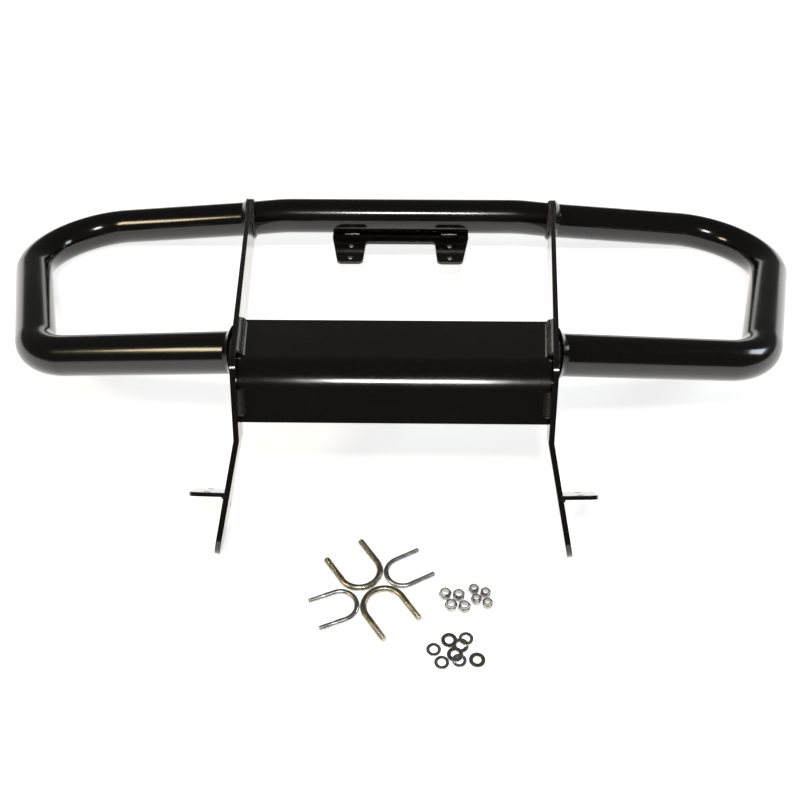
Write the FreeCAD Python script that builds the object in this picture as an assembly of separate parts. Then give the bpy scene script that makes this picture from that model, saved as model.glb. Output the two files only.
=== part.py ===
"""Front grille guard, laid on its back with its clamp hardware beside it.

Millimetres. X runs across the guard, Y runs up the guard from its feet to its top
rail, and Z points up from the floor, which is forward once the guard is mounted.
The origin is on the floor, on the centre plane, midway along the whole layout.
"""
import FreeCAD, Part
import math
import os

V = FreeCAD.Vector

# ---------------------------------------------------------------- driving dimensions
# Guard tubing
TUBE_OD = 50.8
TUBE_WALL = 3.2
UPPER_BEND_R = 102.0
LOWER_BEND_R = 76.0
CENTER_BEND_R = 260.0

# Where the rails meet the side plates
RAIL_SPACING = 420.5
PLATE_HALF_GAP = 181.2
LOWER_RAIL_Y = -69.5
RAKE_DEG = 13.4
LEAN_DEG = 5.9

# Wing legs, each from its plate to the corner where the straight legs would meet
UPPER_LEG_OUT = 359.8
UPPER_LEG_RISE = 36.5
UPPER_LEG_SWEEP = 53.6
LOWER_LEG_OUT = 265.8
LOWER_LEG_RISE = 48.0
LOWER_LEG_SWEEP = 53.0

# Center rail: its middle stands forward of its two ends
CENTER_BOW = 6.0
CENTER_END_RUN = 55.0

# Side plates
PLATE_T = 6.35
PLATE_MARGIN = 4.6
NOSE_BELOW_RAIL = 72.0
NOSE_CORNER_R = 20.0
THROAT_R = 40.0
FOOT_TURN_DEG = 65.2
FOOT_LEN = 222.0
FOOT_BEND_AT = 88.0
FOOT_BEND_R = 8.0
FOOT_FLARE_DEG = 13.0
LOBE_AT = 132.0
LOBE_RISE = 20.0
LOBE_LEAD = 18.0
LOBE_R = 14.0
TOE_REAR_R = 34.0
TOE_FRONT_R = 26.0
FOOT_HOLE_D = 8.7
FOOT_HOLE_AT = 171.0

# Nose panel, a bent sheet set back between the plates
PANEL_T = 4.76
PANEL_SETBACK = 13.0
PANEL_UPPER = 115.0
PANEL_LOWER = 62.0
PANEL_BEND_R = 34.0

# Accessory bracket under the center rail
BRACKET_T = 4.76
BRACKET_DROP = 21.5
BRACKET_WIDTH = 205.0
BRACKET_STRAP = 36.0
BRACKET_EAR = 85.0
EAR_PITCH = 147.0
EAR_HOLE_PITCH = 28.6
EAR_NECK_W = 44.0
EAR_TIP_W = 37.5
EAR_TIP_R = 8.0
EAR_NOTCH_R = 4.0
EAR_EDGE = 10.0

# Tabs on the outside of the feet
TAB_T = 4.76
TAB_OUT = 39.0
TAB_END_MARGIN = 10.0
TAB_CORNER_R = 9.0
TAB_AT = 146.0
TAB_TURN_DEG = 8.0
TAB_TILT_DEG = 8.0
TAB_ROOT = 2.5

# Weld fillets
WELD_LEG = 4.4
PANEL_WELD_LEG = 8.5
TAB_WELD_LEG = 4.0
WELD_REACH_BACK = 1.6
WELD_BITE = 0.6

# Clamp hardware of each size: threaded rod and its thinner shank, inside width, straight
# leg, nut wall from rod to flats, washer rim, and the washer's play on the rod
LARGE_ROD_D = 7.94
LARGE_SHANK_D = 7.1
LARGE_THREAD = 25.0
LARGE_U_INSIDE = 38.1
LARGE_U_LEG = 35.0
LARGE_NUT_WALL = 2.38
LARGE_NUT_H = 8.7
LARGE_WASHER_RIM = 4.4
LARGE_WASHER_PLAY = 0.8
LARGE_WASHER_T = 1.65
SMALL_ROD_D = 6.35
SMALL_SHANK_D = 5.6
SMALL_THREAD = 20.0
SMALL_U_INSIDE = 31.0
SMALL_U_LEG = 30.5
SMALL_NUT_WALL = 2.38
SMALL_NUT_H = 7.9
SMALL_WASHER_RIM = 3.7
SMALL_WASHER_PLAY = 2.2
SMALL_WASHER_T = 1.65
ROD_CHAMFER = 0.8
ROD_HOLE_CLEARANCE = 0.8
NUT_BORE_CLEARANCE = 0.3
NUT_COLLAR_SHARE = 0.30
NUT_INSERT_T = 1.3
NUT_INSERT_RIM = 0.6
STACK_GAP = 0.05

# Where the loose hardware lies: x, y and, for the U-bolts, the way the legs point
LARGE_U_PLACES = ((-38.1, -266.8, 124.5), (-8.6, -313.6, -55.5))
SMALL_U_PLACES = ((11.0, -267.5, 29.3), (-57.8, -313.2, 202.4))
LARGE_NUT_PLACES = ((58.6, -296.3, 10.0), (73.5, -297.8, 24.0),
                    (64.7, -310.9, 5.0), (79.4, -312.6, 16.0))
SMALL_NUT_PLACES = ((90.6, -289.6, 8.0), (103.4, -294.2, 20.0),
                    (92.9, -302.6, 2.0), (105.0, -307.6, 27.0))
LARGE_WASHER_PLACES = ((61.8, -354.3, 1), (91.0, -376.7, 0), (74.0, -359.6, 0), (67.7, -371.4, 1))
SMALL_WASHER_PLACES = ((45.1, -364.9, 0), (53.5, -380.2, 0), (79.9, -352.3, 1), (72.0, -377.6, 0))

# ---------------------------------------------------------------- sizes that follow
TUBE_R = TUBE_OD / 2.0
PLATE_W = TUBE_OD + 2.0 * PLATE_MARGIN
HALF_W = PLATE_W / 2.0
FAR = 900.0

rake = math.radians(RAKE_DEG)
lean = math.radians(LEAN_DEG)
turn = math.radians(FOOT_TURN_DEG)

# Right-hand plate frame: up the plate, forward across it, and outward through it
UP = V(math.sin(lean), math.cos(lean) * math.cos(rake), -math.cos(lean) * math.sin(rake))
FORWARD = V(0.0, math.sin(rake), math.cos(rake))
OUT = UP.cross(FORWARD)
RAIL_POINT = V(PLATE_HALF_GAP, LOWER_RAIL_Y, 0.0)

# Foot frame inside the plate: down the foot, and back from its front edge
FOOT_DOWN = (-math.cos(turn), -math.sin(turn))
FOOT_BACK = (math.sin(turn), -math.cos(turn))


def on_plate(up, forward, out=0.0):
    """Return the place at plate coordinates on the right-hand plate."""
    return RAIL_POINT + UP * up + FORWARD * forward + OUT * out


def foot_point(down, back):
    """Return plate coordinates of a place given along and across the foot."""
    up = -NOSE_BELOW_RAIL + FOOT_DOWN[0] * down + FOOT_BACK[0] * back
    forward = HALF_W + FOOT_DOWN[1] * down + FOOT_BACK[1] * back
    return up, forward


def rounded_wire(corners):
    """Return a closed wire through corners, each a place and a rounding radius."""
    count = len(corners)
    trims = []
    for index, (corner, radius) in enumerate(corners):
        before = (corners[index - 1][0] - corner).normalize()
        after = (corners[(index + 1) % count][0] - corner).normalize()
        half = before.getAngle(after) / 2.0
        middle = (before + after).normalize()
        if radius > 0.0:
            run = radius / math.tan(half)
            sag = corner + middle * (radius / math.sin(half) - radius)
            trims.append((corner + before * run, sag, corner + after * run))
        else:
            trims.append((corner, None, corner))
    edges = []
    for index, (start, sag, end) in enumerate(trims):
        if sag is not None:
            edges.append(Part.Arc(start, sag, end).toShape())
        following = trims[(index + 1) % count][0]
        if end.distanceToPoint(following) > 1e-4:
            edges.append(Part.LineSegment(end, following).toShape())
    return Part.Wire(edges)


def bent_path(points, radii):
    """Return an open wire of straight runs joined by tangent arcs."""
    edges = []
    start = points[0]
    for index, radius in enumerate(radii, start=1):
        corner = points[index]
        before = (points[index - 1] - corner).normalize()
        after = (points[index + 1] - corner).normalize()
        half = before.getAngle(after) / 2.0
        run = radius / math.tan(half)
        sag = corner + (before + after).normalize() * (radius / math.sin(half) - radius)
        edges.append(Part.LineSegment(start, corner + before * run).toShape())
        edges.append(Part.Arc(corner + before * run, sag, corner + after * run).toShape())
        start = corner + after * run
    edges.append(Part.LineSegment(start, points[-1]).toShape())
    return Part.Wire(edges)


def swept(path, radius):
    """Return a round bar of the given radius along a path."""
    start = path.Edges[0]
    along = start.tangentAt(start.FirstParameter)
    ring = Part.Wire(Part.makeCircle(radius, start.valueAt(start.FirstParameter), along))
    return path.makePipeShell([ring], True, False)


def mirrored(shape):
    """Return the left-hand twin of a right-hand piece."""
    return shape.mirror(V(0, 0, 0), V(1, 0, 0))


def between_plates(outset):
    """Return the space between two planes that stand outset off the plates' inner faces."""
    sides = []
    for up in (-FAR, FAR):
        place = on_plate(up, 0.0, outset)
        sides.append(V(place.x, place.y, place.z))
        sides.append(V(-place.x, place.y, place.z))
    corners = [sides[0], sides[1], sides[3], sides[2], sides[0]]
    face = Part.Face(Part.makePolygon([corner - FORWARD * FAR for corner in corners]))
    return face.extrude(FORWARD * (2.0 * FAR))


def fillet_ring(place, along, leg):
    """Return a round weld fillet about a tube that leaves a face along a direction."""
    behind = WELD_REACH_BACK * leg
    core = Part.makeCylinder(TUBE_R, 2.0 * behind + leg, place - along * behind, along)
    cone = Part.makeCone(TUBE_R + leg + behind, TUBE_R, leg + behind, place - along * behind, along)
    return cone.cut(core)


# ---------------------------------------------------------------- side plates
def plate_outline():
    """Return the flat outline of the right-hand plate."""
    top = RAIL_SPACING + HALF_W
    throat_down = HALF_W * (2.0 - 2.0 * math.cos(turn)) / math.sin(turn)
    lobe_back = PLATE_W + LOBE_RISE
    places = (((top, HALF_W), HALF_W - 0.01),
              ((top, -HALF_W), HALF_W - 0.01),
              (foot_point(throat_down, PLATE_W), THROAT_R),
              (foot_point(LOBE_AT, PLATE_W), LOBE_R),
              (foot_point(LOBE_AT + LOBE_LEAD, lobe_back), LOBE_R),
              (foot_point(FOOT_LEN, PLATE_W), TOE_REAR_R),
              (foot_point(FOOT_LEN, 0.0), TOE_FRONT_R),
              ((-NOSE_BELOW_RAIL, HALF_W), NOSE_CORNER_R))
    return [(on_plate(*place), radius) for place, radius in places]


def bend_axis():
    """Return a place on the bend axis of the foot and the axis direction."""
    place = on_plate(*foot_point(FOOT_BEND_AT, 0.0), PLATE_T + FOOT_BEND_R)
    far_end = on_plate(*foot_point(FOOT_BEND_AT, 1.0), PLATE_T + FOOT_BEND_R)
    return place, (place - far_end).normalize()


def flared(shape, degrees=FOOT_FLARE_DEG):
    """Return a copy of a piece turned with the foot about its bend."""
    place, axis = bend_axis()
    turned = shape.copy()
    turned.rotate(place, axis, degrees)
    return turned


def foot_box(down_from, down_to, back_from, back_to, out_from, out_to):
    """Return a block given in foot coordinates, before the foot is flared."""
    corners = ((down_from, back_from), (down_to, back_from), (down_to, back_to),
               (down_from, back_to), (down_from, back_from))
    ring = [on_plate(*foot_point(*corner), out_from) for corner in corners]
    return Part.Face(Part.makePolygon(ring)).extrude(OUT * (out_to - out_from))


def side_plate():
    """Return the right-hand plate: strip, nose, bend and flared foot."""
    flat = Part.Face(rounded_wire(plate_outline())).extrude(OUT * PLATE_T)
    hole_back = PLATE_W + LOBE_RISE - 2.0 * FOOT_HOLE_D - 6.0
    hole_at = on_plate(*foot_point(FOOT_HOLE_AT, hole_back), -PLATE_T)
    flat = flat.cut(Part.makeCylinder(FOOT_HOLE_D / 2.0, 3.0 * PLATE_T, hole_at, OUT))
    foot_half = foot_box(FOOT_BEND_AT, FOOT_LEN + PLATE_W, -PLATE_W,
                         2.0 * PLATE_W, -PLATE_T, 2.0 * PLATE_T)
    upper = flat.cut(foot_half)
    lower = flared(flat.common(foot_half))
    ring = [on_plate(*foot_point(FOOT_BEND_AT, back), out)
            for back, out in ((0, 0), (PLATE_W, 0), (PLATE_W, PLATE_T), (0, PLATE_T), (0, 0))]
    place, axis = bend_axis()
    bend = Part.Face(Part.makePolygon(ring)).revolve(place, axis, FOOT_FLARE_DEG)
    return upper.fuse([bend, lower]).removeSplitter()


# ---------------------------------------------------------------- tubes
def wing_points():
    """Return the corner points of the right-hand wing, upper end first."""
    upper = on_plate(RAIL_SPACING, 0.0)
    lower = on_plate(0.0, 0.0)
    upper_corner = upper + V(UPPER_LEG_OUT, UPPER_LEG_RISE, -UPPER_LEG_SWEEP)
    lower_corner = lower + V(LOWER_LEG_OUT, LOWER_LEG_RISE, -LOWER_LEG_SWEEP)
    return upper, upper_corner, lower_corner, lower


def wing_tube():
    """Return the right-hand wing: one bent tube that butts on the plate twice."""
    path = bent_path(wing_points(), (UPPER_BEND_R, LOWER_BEND_R))
    tube = swept(path, TUBE_R).cut(swept(path, TUBE_R - TUBE_WALL))
    return tube.cut(between_plates(PLATE_T))


def center_points():
    """Return the points of the center rail from the left plate to the right plate."""
    end = on_plate(RAIL_SPACING, 0.0, PLATE_T)
    knee = end + V(-CENTER_END_RUN, 0.0, CENTER_BOW)
    return V(-end.x, end.y, end.z), V(-knee.x, knee.y, knee.z), knee, end


def center_tube():
    """Return the center rail between the inner faces of the plates."""
    path = bent_path(center_points(), (CENTER_BEND_R, CENTER_BEND_R))
    tube = swept(path, TUBE_R).cut(swept(path, TUBE_R - TUBE_WALL))
    return tube.common(between_plates(0.0))


# ---------------------------------------------------------------- nose panel
def panel_corners(inset):
    """Return the panel's section corners, a given distance behind its front face."""
    depth = PANEL_SETBACK + inset
    back = depth
    down = (depth - depth * math.cos(turn)) / math.sin(turn)
    nose = foot_point(down, back)
    top = (nose[0] + PANEL_UPPER, nose[1])
    bottom = (nose[0] + FOOT_DOWN[0] * PANEL_LOWER, nose[1] + FOOT_DOWN[1] * PANEL_LOWER)
    return top, nose, bottom


def mid_plane(up, forward):
    """Return the place on the centre plane level with plate coordinates."""
    place = on_plate(up, forward)
    return V(0.0, place.y, place.z)


def nose_panel():
    """Return the V-bent sheet between the plates."""
    front_top, front_nose, front_bottom = panel_corners(0.0)
    _, back_nose, _ = panel_corners(PANEL_T)
    back_top = (front_top[0], back_nose[1])
    back_bottom = (front_bottom[0] + FOOT_BACK[0] * PANEL_T, front_bottom[1] + FOOT_BACK[1] * PANEL_T)
    section = ((front_top, 0.0), (front_nose, PANEL_BEND_R + PANEL_T), (front_bottom, 0.0),
               (back_bottom, 0.0), (back_nose, PANEL_BEND_R), (back_top, 0.0))
    wire = rounded_wire([(mid_plane(*place), radius) for place, radius in section])
    face = Part.Face(wire)
    face.translate(V(-FAR / 2.0, 0, 0))
    return face.extrude(V(FAR, 0, 0)).common(between_plates(0.0))


# ---------------------------------------------------------------- bracket and tabs
def rail_axis():
    """Return the middle of the center rail's axis."""
    knee = center_points()[2]
    return V(0.0, knee.y, knee.z)


def ear_holes():
    """Return the centres of the four bracket holes on the bracket's rear face."""
    axis = rail_axis()
    low = axis.y - BRACKET_EAR + EAR_EDGE
    base = axis.z - BRACKET_DROP - BRACKET_T
    return [V(side * EAR_PITCH / 2.0, low + row * EAR_HOLE_PITCH, base)
            for side in (-1, 1) for row in (0, 1)]


def accessory_bracket():
    """Return the flat bracket with two drilled ears under the center rail."""
    axis = rail_axis()
    base = axis.z - BRACKET_DROP - BRACKET_T
    strap = axis.y - BRACKET_STRAP
    tip = axis.y - BRACKET_EAR
    ear = EAR_PITCH / 2.0
    right = (((BRACKET_WIDTH / 2.0, axis.y), 0.0),
             ((BRACKET_WIDTH / 2.0, axis.y - TUBE_R), 0.0),
             ((ear + EAR_TIP_W / 2.0, tip), EAR_TIP_R),
             ((ear - EAR_TIP_W / 2.0, tip), EAR_TIP_R),
             ((ear - EAR_NECK_W / 2.0, strap), EAR_NOTCH_R))
    left = [((-x, y), radius) for (x, y), radius in reversed(right)]
    wire = rounded_wire([(V(x, y, base), radius) for (x, y), radius in list(right) + left])
    plate = Part.Face(wire).extrude(V(0, 0, BRACKET_T))
    hole_r = (SMALL_ROD_D + ROD_HOLE_CLEARANCE) / 2.0
    for place in ear_holes():
        plate = plate.cut(Part.makeCylinder(hole_r, 3.0 * BRACKET_T, place - V(0, 0, BRACKET_T)))
    rail = Part.makeCylinder(TUBE_R, BRACKET_WIDTH * 2.0, V(-BRACKET_WIDTH, axis.y, axis.z), V(1, 0, 0))
    return plate.cut(rail)


def tab_depth():
    """Return the tab's size from front to back, which takes a large U-bolt's two legs."""
    return LARGE_U_INSIDE + LARGE_ROD_D + 2.0 * TAB_END_MARGIN


def tab_turned(shape):
    """Return a tab piece turned about the foot's front edge and flared with the foot."""
    pivot = on_plate(*foot_point(TAB_AT, 0.0), PLATE_T)
    turned = shape.copy()
    turned.rotate(pivot, OUT, -TAB_TURN_DEG)
    turned.rotate(pivot, bend_axis()[1], -TAB_TILT_DEG)
    return flared(turned)


def foot_down_vector():
    """Return the unflared direction down the foot."""
    return UP * FOOT_DOWN[0] + FORWARD * FOOT_DOWN[1]


def tab_hole_axis(index):
    """Return the unturned centre of one tab hole on the tab's upper face."""
    pitch = LARGE_U_INSIDE + LARGE_ROD_D
    back = TAB_END_MARGIN + index * pitch
    return on_plate(*foot_point(TAB_AT, back), PLATE_T + TAB_OUT / 2.0)


def foot_tab(plate):
    """Return the right-hand tab: a drilled flat that stands out from the foot."""
    depth = tab_depth()
    corners = ((-TAB_ROOT, 0.0, 0.0), (TAB_OUT, 0.0, TAB_CORNER_R),
               (TAB_OUT, depth, TAB_CORNER_R), (-TAB_ROOT, depth, 0.0))
    wire = rounded_wire([(on_plate(*foot_point(TAB_AT, back), PLATE_T + out), radius)
                         for out, back, radius in corners])
    down = foot_down_vector()
    tab = Part.Face(wire).extrude(down * TAB_T)
    hole_r = (LARGE_ROD_D + ROD_HOLE_CLEARANCE) / 2.0
    for index in (0, 1):
        place = tab_hole_axis(index) - down * TAB_T
        tab = tab.cut(Part.makeCylinder(hole_r, 3.0 * TAB_T, place, down))
    return tab_turned(tab).cut(plate)


# ---------------------------------------------------------------- welds
def wing_welds():
    """Return the two fillets where the right-hand wing meets its plate."""
    upper, upper_corner, lower_corner, lower = wing_points()
    rings = []
    for end, corner in ((upper, upper_corner), (lower, lower_corner)):
        along = (corner - end).normalize()
        place = end + along * (PLATE_T / along.dot(OUT))
        rings.append(fillet_ring(place, along, WELD_LEG).cut(between_plates(PLATE_T)))
    return Part.makeCompound(rings)


def center_welds():
    """Return the two fillets at the ends of the center rail."""
    left, left_knee, right_knee, right = center_points()
    along = (right_knee - right).normalize()
    place = right - along * (PLATE_T / along.dot(OUT))
    right_ring = fillet_ring(place, along, WELD_LEG).common(between_plates(0.0))
    return Part.makeCompound([right_ring, mirrored(right_ring)])


def bead(start, along, length, first, second, leg):
    """Return a straight three-cornered weld bead between two faces."""
    face = Part.Face(Part.makePolygon([start, start + first * leg, start + second * leg, start]))
    return face.extrude(along * length)


def panel_welds(panel):
    """Return the beads between the nose panel's front faces and the two plates."""
    top, nose, bottom = panel_corners(0.0)
    lower_out = (UP * -FOOT_BACK[0] + FORWARD * -FOOT_BACK[1]).normalize()
    beads = []
    for end, face_out in ((top, FORWARD), (bottom, lower_out)):
        run = on_plate(*end) - on_plate(*nose)
        along = V(run).normalize()
        clear = (PANEL_BEND_R + PANEL_T) * math.tan(turn / 2.0)
        corner = on_plate(*nose) + along * clear - face_out * WELD_BITE
        length = run.Length - clear - PANEL_WELD_LEG
        piece = bead(corner, along, length, OUT * -1.0, face_out, PANEL_WELD_LEG + WELD_BITE)
        beads.append(piece.cut(panel))
    return Part.makeCompound(beads + [mirrored(piece) for piece in beads])


def bracket_welds():
    """Return the two beads between the bracket's front face and the center rail."""
    axis = rail_axis()
    tangent = axis.y - math.sqrt(TUBE_R ** 2 - BRACKET_DROP ** 2)
    rail = Part.makeCylinder(TUBE_R, BRACKET_WIDTH * 2.0, V(-BRACKET_WIDTH, axis.y, axis.z), V(1, 0, 0))
    beads = []
    for side in (-1, 1):
        start = V(side * EAR_PITCH / 2.0 - EAR_NECK_W / 4.0, tangent, axis.z - BRACKET_DROP)
        strip = Part.makePolygon([start + V(0, TUBE_R / 2.0, 0), start + V(0, -WELD_LEG, 0),
                                  start + V(0, 0, WELD_LEG), start + V(0, TUBE_R / 2.0, 0)])
        beads.append(Part.Face(strip).extrude(V(EAR_NECK_W / 2.0, 0, 0)).cut(rail))
    return Part.makeCompound(beads)


def tab_weld(plate, tab):
    """Return the bead under the right-hand tab, against the foot's outer face."""
    down = foot_down_vector()
    back = (UP * FOOT_BACK[0] + FORWARD * FOOT_BACK[1]).normalize()
    place = foot_point(TAB_AT + TAB_T - WELD_BITE, TAB_WELD_LEG)
    start = on_plate(*place, PLATE_T - TAB_ROOT)
    length = tab_depth() - 2.0 * TAB_WELD_LEG
    reach = TAB_WELD_LEG + TAB_ROOT
    trimmed = tab_turned(bead(start, back, length, OUT, down, reach)).cut(plate).cut(tab)
    return max(trimmed.Solids, key=lambda solid: solid.Volume)


# ---------------------------------------------------------------- loose hardware
def u_bolt(rod_d, shank_d, inside, leg, thread, place):
    """Return one U-bolt lying on the floor, its legs pointing the given way."""
    x, y, heading = place
    reach = (inside + rod_d) / 2.0
    height = rod_d / 2.0
    first, second = V(leg - thread, reach, height), V(0, reach, height)
    third, fourth = V(0, -reach, height), V(leg - thread, -reach, height)
    edges = [Part.LineSegment(first, second).toShape(),
             Part.Arc(second, V(-reach, 0, height), third).toShape(),
             Part.LineSegment(third, fourth).toShape()]
    rod = swept(Part.Wire(edges), shank_d / 2.0)
    ends = []
    for start in (first, fourth):
        straight = thread - ROD_CHAMFER
        ends.append(Part.makeCylinder(rod_d / 2.0, straight, start, V(1, 0, 0)))
        ends.append(Part.makeCone(rod_d / 2.0, rod_d / 2.0 - ROD_CHAMFER, ROD_CHAMFER,
                                  start + V(straight, 0, 0), V(1, 0, 0)))
    rod = rod.fuse(ends).removeSplitter()
    rod.rotate(V(0, 0, 0), V(0, 0, 1), heading)
    rod.translate(V(x, y, 0))
    return rod


def lock_nut(rod_d, flats, height, place):
    """Return a lock nut's steel body and its nylon insert, flat on the floor."""
    x, y, heading = place
    collar = height * NUT_COLLAR_SHARE
    skirt = height - collar
    circum = flats / math.sqrt(3.0)
    ring = [V(circum * math.cos(math.radians(60.0 * k)), circum * math.sin(math.radians(60.0 * k)), 0)
            for k in range(7)]
    hexagon = Part.Face(Part.makePolygon(ring)).extrude(V(0, 0, skirt))
    chamfer = circum - flats / 2.0
    trim = Part.makeCone(flats / 2.0, flats / 2.0 + skirt + chamfer, skirt + chamfer)
    top_trim = Part.makeCone(flats / 2.0 + skirt + chamfer, flats / 2.0, skirt + chamfer,
                             V(0, 0, -chamfer))
    body = hexagon.common(trim).common(top_trim)
    collar_r = flats / 2.0 - chamfer / 2.0
    body = body.fuse(Part.makeCone(collar_r, collar_r - collar / 3.0, collar, V(0, 0, skirt)))
    bore_r = rod_d / 2.0 + NUT_BORE_CLEARANCE
    seat_r = bore_r + NUT_INSERT_RIM
    seat_z = height - NUT_INSERT_T - collar / 3.0
    body = body.cut(Part.makeCylinder(bore_r, height))
    body = body.cut(Part.makeCylinder(seat_r, NUT_INSERT_T, V(0, 0, seat_z)))
    insert = Part.makeCylinder(seat_r, NUT_INSERT_T, V(0, 0, seat_z))
    insert = insert.cut(Part.makeCylinder(bore_r - NUT_BORE_CLEARANCE / 2.0, height))
    for piece in (body, insert):
        piece.rotate(V(0, 0, 0), V(0, 0, 1), heading)
        piece.translate(V(x, y, 0))
    return body, insert


def washer(hole_d, rim, thickness, place):
    """Return one flat washer, on the floor or one washer up."""
    x, y, layer = place
    z = layer * (LARGE_WASHER_T + STACK_GAP)
    disc = Part.makeCylinder(hole_d / 2.0 + rim, thickness, V(x, y, z))
    return disc.cut(Part.makeCylinder(hole_d / 2.0, thickness, V(x, y, z)))


def hardware():
    """Return the loose hardware, node by node."""
    nodes = {}
    large = (LARGE_ROD_D, LARGE_SHANK_D, LARGE_U_INSIDE, LARGE_U_LEG, LARGE_THREAD)
    small = (SMALL_ROD_D, SMALL_SHANK_D, SMALL_U_INSIDE, SMALL_U_LEG, SMALL_THREAD)
    for size, places, sizes in (("large", LARGE_U_PLACES, large), ("small", SMALL_U_PLACES, small)):
        for letter, place in zip("ab", places):
            nodes[f"{size}_u_bolt_{letter}"] = u_bolt(*sizes, place)
    nuts = (("large", LARGE_NUT_PLACES, LARGE_ROD_D, LARGE_NUT_WALL, LARGE_NUT_H),
            ("small", SMALL_NUT_PLACES, SMALL_ROD_D, SMALL_NUT_WALL, SMALL_NUT_H))
    for size, places, rod_d, wall, height in nuts:
        pairs = [lock_nut(rod_d, rod_d + 2.0 * wall, height, place) for place in places]
        nodes[f"{size}_lock_nuts"] = Part.makeCompound([pair[0] for pair in pairs])
        nodes[f"{size}_nut_inserts"] = Part.makeCompound([pair[1] for pair in pairs])
    large = (LARGE_ROD_D + LARGE_WASHER_PLAY, LARGE_WASHER_RIM, LARGE_WASHER_T)
    small = (SMALL_ROD_D + SMALL_WASHER_PLAY, SMALL_WASHER_RIM, SMALL_WASHER_T)
    washers = (("large", LARGE_WASHER_PLACES, large), ("small", SMALL_WASHER_PLACES, small))
    for size, places, sizes in washers:
        nodes[f"{size}_washers"] = Part.makeCompound([washer(*sizes, place) for place in places])
    return nodes


def welded_guard():
    """Return the welded guard, node by node, set down so that it rests on the floor."""
    plate = side_plate()
    tab = foot_tab(plate)
    right = {"side_plate": plate, "wing_tube": wing_tube(), "wing_welds": wing_welds(),
             "foot_tab": tab, "tab_weld": tab_weld(plate, tab)}
    panel = nose_panel()
    nodes = {"center_tube": center_tube(), "center_welds": center_welds(),
             "nose_panel": panel, "panel_welds": panel_welds(panel),
             "accessory_bracket": accessory_bracket(), "bracket_welds": bracket_welds()}
    for name, shape in right.items():
        nodes[f"right_{name}"] = shape
        nodes[f"left_{name}"] = mirrored(shape)
    lowest = min(shape.optimalBoundingBox(False).ZMin for shape in nodes.values())
    for shape in nodes.values():
        shape.translate(V(0, 0, -lowest))
    return nodes


def centre_layout(nodes):
    """Move every node so that the origin is midway along the layout's length."""
    boxes = [shape.optimalBoundingBox(False) for shape in nodes.values()]
    middle = (min(box.YMin for box in boxes) + max(box.YMax for box in boxes)) / 2.0
    for shape in nodes.values():
        shape.translate(V(0, -middle, 0))


def main():
    """Build every node and write its STEP file."""
    os.makedirs("parts", exist_ok=True)
    nodes = welded_guard()
    nodes.update(hardware())
    centre_layout(nodes)
    for name, shape in nodes.items():
        shape.exportStep(os.path.join("parts", f"{name}.step"))
    return nodes


if __name__ == "__main__":
    main()
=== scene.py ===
import logging
import math
from dataclasses import dataclass, field
from enum import Enum
from typing import Dict, Iterable, List, Optional, Sequence, Tuple

import bmesh
import bpy
from mathutils import Matrix, Vector


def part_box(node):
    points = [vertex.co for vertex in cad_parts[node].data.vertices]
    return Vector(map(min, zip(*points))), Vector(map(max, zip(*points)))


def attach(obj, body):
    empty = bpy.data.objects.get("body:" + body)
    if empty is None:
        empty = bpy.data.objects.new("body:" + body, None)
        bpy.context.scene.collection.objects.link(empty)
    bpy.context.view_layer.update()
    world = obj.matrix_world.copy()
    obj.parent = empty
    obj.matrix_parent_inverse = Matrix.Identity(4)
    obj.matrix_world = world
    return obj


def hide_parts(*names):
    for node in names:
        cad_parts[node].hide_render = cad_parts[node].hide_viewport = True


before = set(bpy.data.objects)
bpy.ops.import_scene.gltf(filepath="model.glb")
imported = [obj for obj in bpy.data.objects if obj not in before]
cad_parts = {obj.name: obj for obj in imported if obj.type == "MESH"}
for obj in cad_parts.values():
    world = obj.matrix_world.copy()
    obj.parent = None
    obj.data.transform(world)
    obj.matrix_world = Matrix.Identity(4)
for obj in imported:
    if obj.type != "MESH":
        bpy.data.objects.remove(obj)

LOG = logging.getLogger("grille_guard")
MM = 0.001
MERGE_M = 4e-6
FLAT_DEG = 0.4
SENSOR_MM = 36.0
TUBE_SLACK = 0.05
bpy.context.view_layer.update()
Place = Tuple[float, float, float]


class Side(Enum):
    """The two hands of the guard, by the sign of X."""

    RIGHT = 1
    LEFT = -1

    @property
    def word(self) -> str:
        """The word that starts this side's node names."""
        return self.name.lower()


# ------------------------------------------------------------------ sizes, in millimetres
@dataclass(frozen=True)
class PlateSizes:
    """How the right-hand side plate stands and how its foot leaves it."""

    half_gap: float = 181.2
    rail_y: float = -69.5
    rail_spacing: float = 420.5
    thickness: float = 6.35
    rake: float = 13.4
    lean: float = 5.9
    margin: float = 4.6
    nose_below_rail: float = 72.0
    foot_turn: float = 65.2
    foot_bend_at: float = 88.0
    foot_bend_r: float = 8.0
    foot_flare: float = 13.0


@dataclass(frozen=True)
class TubeSizes:
    """The guard's tubing and the runs of its wings and its center rail."""

    od: float = 50.8
    upper_leg: Place = (359.8, 36.5, -53.6)
    lower_leg: Place = (265.8, 48.0, -53.0)
    upper_bend_r: float = 102.0
    lower_bend_r: float = 76.0
    center_bow: float = 6.0
    center_run: float = 55.0
    center_bend_r: float = 260.0
    sides: int = 72


@dataclass(frozen=True)
class BracketSizes:
    """The bracket under the center rail."""

    thickness: float = 4.76
    drop: float = 21.5
    ear: float = 85.0
    pitch: float = 147.0
    neck: float = 44.0


@dataclass(frozen=True)
class TabSizes:
    """Where the foot tabs stand and how deep they are."""

    at: float = 146.0
    turn: float = 8.0
    tilt: float = 8.0
    thickness: float = 4.76
    depth: float = 66.04


@dataclass(frozen=True)
class PanelSizes:
    """The nose panel's setback and the widths of its two faces."""

    setback: float = 13.0
    upper: float = 115.0
    lower: float = 62.0
    bend_run: float = 27.0
    end_run: float = 9.0


@dataclass(frozen=True)
class UBoltSizes:
    """One size of U-bolt."""

    rod: float
    inside: float
    leg: float
    pitch: float
    threaded: float


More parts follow.
